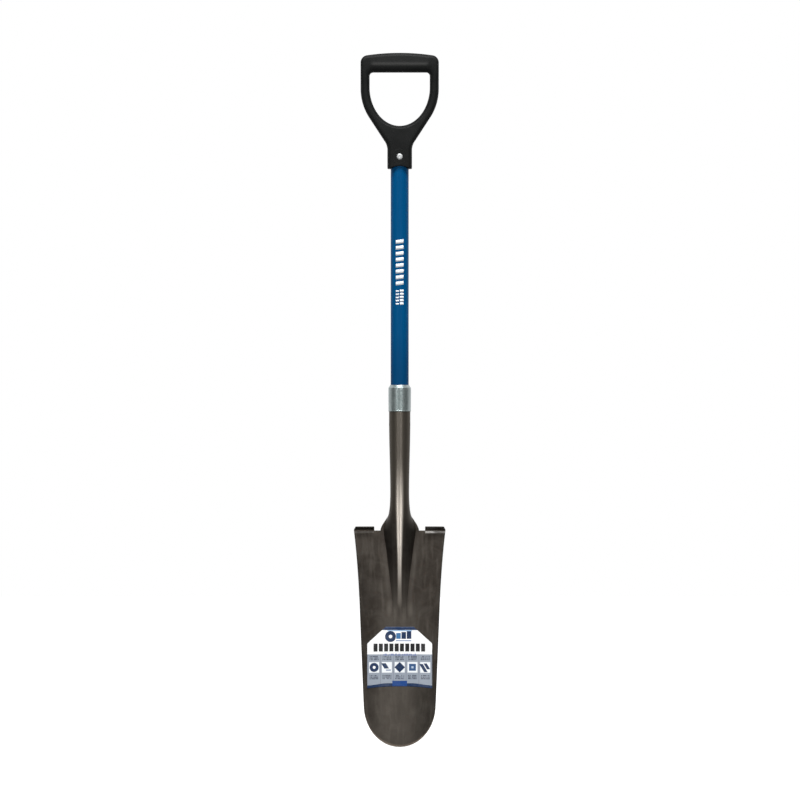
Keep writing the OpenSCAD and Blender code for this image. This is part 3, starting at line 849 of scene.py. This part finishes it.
def steel_material():
    """Heat-darkened steel under thin lacquer: brown-grey mottle, streaks, a polished ridge with a painted
    highlight, darkened flanks, and painted reflections and shade.
    """
    s = Shader("blade_steel_lacquered")
    x, _, z = s.split(s.position())
    mottle = s.noise(size=22, detail=6, rough=0.62, distort=0.5)
    grain = s.noise(size=2.6, detail=5, rough=0.7)
    streak = s.noise(scale=(1, 1, 0.07), size=6.5, detail=3, rough=0.45)
    tone = s.mix(s.fade(mottle, 0.32, 0.68), STEEL_DARK, STEEL_LIGHT)
    rust = s.fade(s.noise(size=11, detail=5, rough=0.75, distort=0.8), 0.55, 0.70)
    tone = s.mix(s.times(rust, 0.4), tone, STEEL_RUST)
    tone = s.mix(s.times(s.fade(streak, 0.46, 0.72), 0.16), tone, STEEL_PALE_AND_SHEEN)
    tone = s.mix(s.fade(z, 350, 440, 0.0, 0.85), tone, STEEL_SOCKET)
    # painted reflections: the dish is painted a little lighter down its middle and beside the end of the
    # frog, with a painted highlight at the ridge's end
    middle = s.times(s.fade(s.absolute(x), 6, 48, 1.0, 0.0), s.fade(z, 280, 190))
    middle = s.times(middle, 0.30)
    middle = s.math("MAXIMUM", middle, s.times(s.attribute("shoulder"), 0.50))
    middle = s.math("MAXIMUM", middle, s.times(s.attribute("ridge_end"), 0.60))
    tone = s.mix(middle, tone, STEEL_PALE_AND_SHEEN)
    # low down it is rubbed more on the left and keeps more scale on the right
    low = s.fade(z, 150, 70)
    left = s.times(s.fade(x, -34, -14, 1.0, 0.0), low)
    tone = s.mix(s.times(left, 0.14), tone, STEEL_PALE_AND_SHEEN)
    right = s.times(s.fade(x, 14, 34), low)
    tone = s.mix(s.times(right, 0.30), tone, STEEL_SOOT_AND_SHADE)
    # the frog's flanks are painted darker towards the socket and lighter lower down
    flank_darkening = s.times(s.attribute("flank"), s.fade(z, 262, 345, 0.0, 0.34))
    tone = s.mix(flank_darkening, tone, STEEL_SOOT_AND_SHADE)
    haze = s.times(s.attribute("flank"), s.fade(z, 320, 250, 0.0, 0.30))
    tone = s.mix(haze, tone, STEEL_PALE_AND_SHEEN)
    # painted highlight: the crest is polished and painted bright between, fading out up the socket, on the
    # front only
    crest_polish_and_highlight = s.times(s.attribute("crest"), s.fade(z, 218, 345))
    crest_polish_and_highlight = s.times(crest_polish_and_highlight, s.fade(z, 360, 480, 1.0, 0.10))
    crest_polish_and_highlight = s.times(crest_polish_and_highlight, s.attribute("front_face"))
    tone = s.mix(s.times(crest_polish_and_highlight, 0.9), tone, STEEL_CREST_HIGHLIGHT)
    # sheared edges stay dark and the ground tip wears bright; the bends of the foot steps get a faint painted
    # highlight
    rim = s.fade(s.attribute("edge_gap"), 0.2, 1.3, 0.75, 0.0)
    tone = s.mix(s.times(rim, s.fade(z, 20, 60)), tone, STEEL_SOOT_AND_SHADE)
    ragged_gap = s.plus(s.attribute("edge_gap"), s.times(grain, 2.0))
    worn = s.fade(ragged_gap, 1.0, 3.4, 1.0, 0.0)
    worn = s.times(worn, s.fade(z, 30, 70, 0.45, 0.0))
    bend = s.times(s.attribute("bend"), s.fade(mottle, 0.25, 0.6, 0.04, 0.16))
    bend = s.times(bend, s.fade(x, 44, 60, 1.0, 0.55))
    tone = s.mix(s.math("MAXIMUM", worn, bend), tone, STEEL_WORN_AND_SHEEN)
    # a thin painted highlight under the steps, brightest under the right step beside the notch
    line = s.times(s.fade(z, 345.4, 347.0), s.fade(z, 348.8, 350.0, 1.0, 0.0))
    on_steps = s.math("GREATER_THAN", s.absolute(x), BLADE_W / 2 - STEP_W)
    line = s.times(line, on_steps)
    spot = s.times(s.fade(x, 40, 43), s.fade(x, 52, 60, 1.0, 0.28))
    line = s.times(line, s.blend(spot, 0.08, 1.0))
    tone = s.mix(s.times(line, s.attribute("front_face")), tone, STEEL_STEP_GLINT)
    # painted shade: the foot steps' flanges are painted dark for the shade under them
    tone = s.mix(s.times(s.attribute("step"), 0.8), tone, STEEL_SOOT_AND_SHADE)
    rough = s.blend(s.fade(grain, 0.3, 0.7), 0.38, 0.50)
    rough = s.blend(crest_polish_and_highlight, rough, 0.34)
    height = s.plus(s.times(grain, 0.5), s.times(streak, 0.4))
    height = s.plus(height, s.times(mottle, 0.6))
    height = s.times(height, s.blend(crest_polish_and_highlight, 1.0, 0.25))
    s.set(base_color=tone, metallic=0.92, roughness=rough, normal=s.bump(height, 0.3, 0.22))
    return s.material


def zinc_material(name, base, dull, pale, rough_low, rough_high):
    """Zinc plating: cool grey with a faint crystal spangle and fine turning scratches."""
    s = Shader(name)
    spangle = s.spots(3.0)
    haze = s.noise(size=9, detail=5, rough=0.65)
    scratch = s.noise(scale=(1, 1, 14), size=9, detail=3)
    tone = s.mix(s.fade(haze, 0.3, 0.7), base, dull)
    tone = s.mix(s.times(s.fade(spangle, 0.1, 0.7), 0.12), tone, (0.75, 0.8, 0.8))
    # painted reflection: the plating is painted lighter where it turns away
    tone = s.mix(s.times(s.fade(s.facing(), 0.24, 0.55), 0.75), tone, pale)
    rough = s.blend(s.fade(haze, 0.3, 0.7), rough_low, rough_high)
    height = s.plus(s.times(spangle, 0.2), s.times(scratch, 0.4))
    s.set(base_color=tone, metallic=0.95, roughness=rough, normal=s.bump(height, 0.12, 0.08))
    return s.material


def fibreglass_material():
    """Blue pultruded fibreglass: long fibre streaks under resin, with a satin skin."""
    s = Shader("handle_blue_fibreglass")
    z = s.split(s.position())[2]
    fibre = s.noise(scale=(1, 1, 0.02), size=1.1, detail=4, rough=0.7)
    cloud = s.noise(scale=(1, 1, 0.25), size=18, detail=4)
    tone = s.mix(s.fade(fibre, 0.25, 0.8), (0.0, 0.060, 0.172), (0.0, 0.074, 0.202))
    tone = s.mix(s.times(s.fade(cloud, 0.35, 0.7), 0.3), tone, (0.0, 0.050, 0.148))
    # a shade darker and duller towards the collar
    low = s.fade(z, 592, 700, 1.0, 0.0)
    tone = s.mix(s.times(low, 0.6), tone, (0.001, 0.036, 0.108))
    scuff = s.fade(s.noise(scale=(1, 1, 0.5), size=5, detail=6, rough=0.8), 0.6, 0.75)
    rough = s.plus(s.blend(scuff, 0.33, 0.5), s.times(low, 0.06))
    orange_peel = s.noise(size=1.6, detail=3)
    height = s.plus(s.times(fibre, 0.8), s.times(orange_peel, 0.4))
    s.set(base_color=tone, roughness=rough, normal=s.bump(height, 0.3, 0.12), specular_ior_level=0.05)
    return s.material


def grip_material():
    """Black moulded plastic with a fine spark texture, a mould seam and lighter rubbed edges."""
    s = Shader("grip_black_plastic")
    x, y, z = s.split(s.position())
    spark = s.noise(size=0.9, detail=3, rough=0.7)
    flow = s.noise(size=22, detail=4)
    tone = s.mix(s.fade(flow, 0.3, 0.7), (0.0044, 0.0049, 0.0047), (0.0068, 0.0073, 0.0071))
    # hands rub the bar and the shoulders a little lighter
    rubbed = s.fade(s.noise(size=7, detail=6, rough=0.75), 0.52, 0.72)
    tone = s.mix(s.times(rubbed, 0.35), tone, (0.013, 0.013, 0.0125))
    # a painted highlight along the crest of the bar
    crest = s.fade(s.absolute(s.minus(z, CREST_Z + 1)), 0.0, 4.5, 1.0, 0.0)
    crest = s.times(crest, s.fade(s.absolute(x), 40, 50, 1.0, 0.0))
    crest = s.times(crest, s.fade(y, -6, -11))
    tone = s.mix(s.times(crest, 0.8), tone, (0.030, 0.030, 0.029))
    rough = s.blend(rubbed, 0.50, 0.62)
    seam = s.math("COMPARE", y, 0.0, 0.22)
    seam = s.times(seam, s.math("GREATER_THAN", z, NECK_Z + 3))
    # a faint raised ring round the rivet
    ring_r = 11.8
    gap = s.absolute(s.minus(s.length(x, s.minus(z, RIVET_Z)), ring_r))
    ring = s.minus(1, s.fade(gap, 0.0, 0.9))
    fine = s.bump(spark, 0.35, 0.12)
    height = s.plus(seam, s.times(ring, 0.8))
    s.set(base_color=tone, roughness=rough, normal=s.bump(height, 0.6, 0.35, after=fine))
    s.set(specular_ior_level=0.13)
    return s.material


def label_material():
    """Printed blade label, all plain shapes: a ring and bars above, five framed icons on grey below."""
    s = Shader("blade_label_art")
    x, _, z = s.split(s.position())
    navy, white = (0.006, 0.026, 0.085), (0.97, 0.97, 0.97)
    grey, black = (0.30, 0.34, 0.40), (0.006, 0.006, 0.008)
    emblem_x, emblem_z = -15.0, 178.2
    icon_z = 128.5
    ax = s.absolute(x)
    tone = white
    # navy band on the top edge, with a lighter blue line under it
    tone = s.mix(s.math("GREATER_THAN", z, 188.6), tone, navy)
    tone = s.mix(s.bar(ax, z, 0, 187.6, 40, 1.6), tone, (0.30, 0.48, 0.72))
    # emblem: a ring beside three short bars
    tone = s.mix(s.disc(x, z, emblem_x, emblem_z, 8.9), tone, navy)
    tone = s.mix(s.disc(x, z, emblem_x, emblem_z, 2.9), tone, white)
    for k, h in enumerate((9.5, 11.0, 12.5)):
        shade = navy if k else (0.04, 0.16, 0.36)
        tone = s.mix(s.bar(x, z, -2.0 + 8.6 * k, 174.4 + h / 2, 7.4, h), tone, shade)
    tone = s.mix(s.bar(x, z, 6.4, 171.4, 25, 1.6), tone, (0.20, 0.28, 0.48))
    # wide block of black slats
    slat = s.math("LESS_THAN", s.math("PINGPONG", s.plus(x, 90.9), 4.3), 3.3)
    slats = s.times(s.bar(x, z, -0.6, 160.4, 86, 12.8), slat)
    tone = s.mix(slats, tone, black)
    # grey panel with column lines
    tone = s.mix(s.math("LESS_THAN", z, 149.6), tone, grey)
    pitch = 20.8
    cell = s.math("WRAP", x, pitch / 2, -pitch / 2)
    line = s.math("GREATER_THAN", s.absolute(cell), pitch / 2 - 0.55)
    panel = s.times(s.math("LESS_THAN", z, 149.0), s.math("GREATER_THAN", z, 101.5))
    tone = s.mix(s.times(line, panel), tone, (0.24, 0.26, 0.31))
    # lines of small print, drawn as plain dashes
    dash = s.noise(scale=(1, 1, 0.001), size=1.3, detail=0)
    dash = s.math("GREATER_THAN", dash, 0.42)
    for row in (146.2, 143.6, 141.0, 115.4, 112.8, 110.2):
        text = s.times(s.bar(cell, z, 0, row, 14.5, 1.7), dash)
        tone = s.mix(text, tone, (0.08, 0.095, 0.13))
    # a short strip of small print across the panel's top edge
    strip = s.times(s.bar(x, z, 0, 148.8, 54, 3.2), dash)
    tone = s.mix(strip, tone, (0.20, 0.25, 0.42))
    # white squares, each with its own plain icon
    tone = s.mix(s.bar(cell, z, 0, icon_z, 16.4, 17.2), tone, (0.84, 0.87, 0.90))
    c = [(k - 2) * pitch for k in range(5)]
    tone = s.mix(s.disc(x, z, c[0], icon_z, 7.3), tone, navy)
    tone = s.mix(s.disc(x, z, c[0], icon_z, 2.4), tone, white)
    slant = s.plus(x, s.times(s.minus(z, icon_z), 0.6))
    tone = s.mix(s.bar(slant, z, c[1] - 1.6, 130.8, 7.6, 8.6), tone, navy)
    tone = s.mix(s.bar(x, z, c[1] + 2.4, 123.8, 8.0, 2.6), tone, (0.35, 0.4, 0.5))
    across, up = s.absolute(s.minus(x, c[2])), s.absolute(s.minus(z, icon_z))
    tone = s.mix(s.math("LESS_THAN", s.plus(across, up), 8.6), tone, navy)
    tone = s.mix(s.bar(x, z, c[3], icon_z, 11.2, 11.2), tone, (0.03, 0.09, 0.22))
    tone = s.mix(s.bar(x, z, c[3], icon_z, 3.4, 3.4), tone, (0.45, 0.55, 0.7))
    tone = s.mix(s.bar(slant, z, c[4] - 3.6, 127.4, 5.8, 13.0), tone, navy)
    tone = s.mix(s.bar(slant, z, c[4] + 3.6, 130.2, 5.2, 9.4), tone, navy)
    # navy foot with a taller tab in the middle
    foot = s.plus(99.6, s.fade(ax, 20, 53, 3.2, 0.0))
    tone = s.mix(s.math("LESS_THAN", z, foot), tone, navy)
    tone = s.mix(s.bar(x, z, 0, 102, 24, 9.5), tone, (0.008, 0.055, 0.23))
    wear = s.fade(s.noise(size=6, detail=6, rough=0.8), 0.3, 0.8)
    tone = s.mix(s.times(wear, 0.08), tone, (0.45, 0.44, 0.42))
    ripple = s.noise(size=12, detail=3)
    s.set(base_color=tone, roughness=s.blend(wear, 0.28, 0.4), normal=s.bump(ripple, 0.15, 0.3))
    s.set(coat_weight=0.12, coat_roughness=0.15, specular_ior_level=0.15)
    return s.material


def print_material():
    """White screen ink on the handle, slightly worn through."""
    s = Shader("handle_white_ink")
    worn = s.fade(s.noise(size=1.6, detail=5, rough=0.8), 0.60, 0.70)
    tone = s.mix(s.times(worn, 0.5), (0.82, 0.85, 0.88), (0.18, 0.32, 0.50))
    s.set(base_color=tone, roughness=0.42, normal=s.bump(s.noise(size=0.9), 0.2, 0.05))
    return s.material


def wood_material():
    """Turned hardwood dowel with straight grain."""
    s = Shader("core_plug_hardwood")
    grain = s.noise(scale=(1, 1, 0.06), size=1.8, detail=5, rough=0.65, distort=0.3)
    pores = s.noise(scale=(1, 1, 0.1), size=0.5, detail=2)
    tone = s.mix(s.fade(grain, 0.3, 0.7), (0.42, 0.25, 0.12), (0.58, 0.39, 0.21))
    tone = s.mix(s.times(s.fade(pores, 0.6, 0.75), 0.4), tone, (0.25, 0.14, 0.07))
    s.set(base_color=tone, roughness=0.7, normal=s.bump(grain, 0.4, 0.2))
    return s.material


def paint(obj, material):
    obj.data.materials.clear()
    obj.data.materials.append(material)


def paint_cad(node, material):
    """A CAD node keeps its mesh and takes a better material."""
    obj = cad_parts[node]
    for k in range(max(1, len(obj.material_slots))):
        if not obj.material_slots:
            obj.data.materials.append(material)
        obj.material_slots[k].material = material


# ---------------------------------------------------------------- stage

def build_stage():
    """A pale floor just under the tip, which looks white to the camera."""
    half, drop = 6.0, 0.0005
    mesh = bpy.data.meshes.new("floor")
    corners = [(-half, -half, 0), (half, -half, 0), (half, half, 0), (-half, half, 0)]
    mesh.from_pydata(corners, [], [[0, 1, 2, 3]])
    floor = bpy.data.objects.new("floor", mesh)
    floor.location.z = blade_lo[2] * MM - drop
    bpy.context.scene.collection.objects.link(floor)
    s = Shader("pale_floor")
    s.set(base_color=(0.30, 0.30, 0.30), roughness=0.9, specular_ior_level=0.0)
    glow = s.tree.nodes.new("ShaderNodeLightPath").outputs["Is Camera Ray"]
    s.set(emission_color=(1, 1, 1), emission_strength=glow)
    floor.data.materials.append(s.material)


def add_light(name, size, place, target, power):
    data = bpy.data.lights.new(name, "AREA")
    data.shape = "RECTANGLE"
    data.size, data.size_y = size
    data.energy = power
    light = bpy.data.objects.new(name, data)
    light.location = place
    aim = np.array(target) - np.array(place)
    light.rotation_euler = Vector(aim).to_track_quat("-Z", "Y").to_euler()
    bpy.context.scene.collection.objects.link(light)


def build_lights():
    mid = (0, 0, 0.55)
    add_light("front_top", (2.4, 1.2), (0, -1.7, 3.5), mid, 150)
    add_light("strip_left", (0.26, 1.5), (-1.05, -2.1, 0.55), mid, 6.0)
    add_light("strip_right", (0.26, 1.5), (0.60, -2.2, 0.55), mid, 6.0)


def build_world():
    """White to the camera. To the object it is a white backdrop behind and a dim room elsewhere."""
    world = bpy.data.worlds.new("studio")
    bpy.context.scene.world = world
    world.use_nodes = True
    tree = world.node_tree
    tree.nodes.clear()
    out = tree.nodes.new("ShaderNodeOutputWorld")
    coords = tree.nodes.new("ShaderNodeTexCoord")
    split = tree.nodes.new("ShaderNodeSeparateXYZ")
    tree.links.new(coords.outputs["Generated"], split.inputs[0])
    level = tree.nodes.new("ShaderNodeValToRGB")
    tree.links.new(lift_range(tree, split.outputs[1]), level.inputs["Fac"])
    # brightness from straight in front (0) through the sides (0.5) to straight behind (1)
    stops = [(0.0, 0.37), (0.12, 0.36), (0.23, 0.33), (0.34, 0.12), (0.43, 0.15),
             (0.53, 0.72), (0.66, 1.0), (1.0, 1.0)]
    shades = level.color_ramp
    shades.interpolation = "EASE"
    while len(shades.elements) < len(stops):
        shades.elements.new(0.5)
    for element, (place, value) in zip(shades.elements, stops):
        element.position = place
        element.color = (value, value, value, 1)
    room = tree.nodes.new("ShaderNodeBackground")
    tree.links.new(level.outputs[0], room.inputs["Color"])
    white = tree.nodes.new("ShaderNodeBackground")
    white.inputs["Color"].default_value = (1, 1, 1, 1)
    path = tree.nodes.new("ShaderNodeLightPath")
    choose = tree.nodes.new("ShaderNodeMixShader")
    tree.links.new(path.outputs["Is Camera Ray"], choose.inputs[0])
    tree.links.new(room.outputs[0], choose.inputs[1])
    tree.links.new(white.outputs[0], choose.inputs[2])
    tree.links.new(choose.outputs[0], out.inputs["Surface"])


def lift_range(tree, value):
    """Maps -1..1 to 0..1."""
    node = tree.nodes.new("ShaderNodeMapRange")
    node.inputs["From Min"].default_value = -1.0
    tree.links.new(value, node.inputs["Value"])
    return node.outputs[0]


def build_camera():
    """Level with the tool's middle and square to its front, through a long lens from far away."""
    distance, frame_height = 8.0, 1.3072
    shift, eye_height = 0.0005, 0.5636
    data = bpy.data.cameras.new("camera")
    data.sensor_width = 36
    data.lens = data.sensor_width * distance / frame_height
    camera = bpy.data.objects.new("camera", data)
    camera.location = (shift, -distance, eye_height)
    camera.rotation_euler = (math.pi / 2, 0, 0)
    bpy.context.scene.collection.objects.link(camera)
    bpy.context.scene.camera = camera


# ---------------------------------------------------------------- the whole

steel = steel_material()
zinc = zinc_material(
    "collar_zinc", (0.218, 0.266, 0.264), (0.262, 0.310, 0.308), (0.43, 0.48, 0.48), 0.34, 0.42
)
bright_zinc = zinc_material(
    "rivet_bright_zinc", (0.52, 0.53, 0.53), (0.44, 0.45, 0.45), (0.52, 0.53, 0.53), 0.58, 0.66
)

paint(build_blade(), steel)
paint(build_collar(), zinc)
paint(build_tube(), fibreglass_material())
paint(build_grip(), grip_material())
paint(build_grip_rivet(), bright_zinc)
paint(build_washer(), bright_zinc)
paint(build_socket_rivet(), steel_material())
paint(build_blade_label(), label_material())
paint(build_handle_print(), print_material())
wood = wood_material()
paint_cad("lower_core_plug", wood)
paint_cad("upper_core_plug", wood)

build_stage()
build_lights()
build_world()
build_camera()
bpy.context.scene.view_settings.view_transform = "Standard"
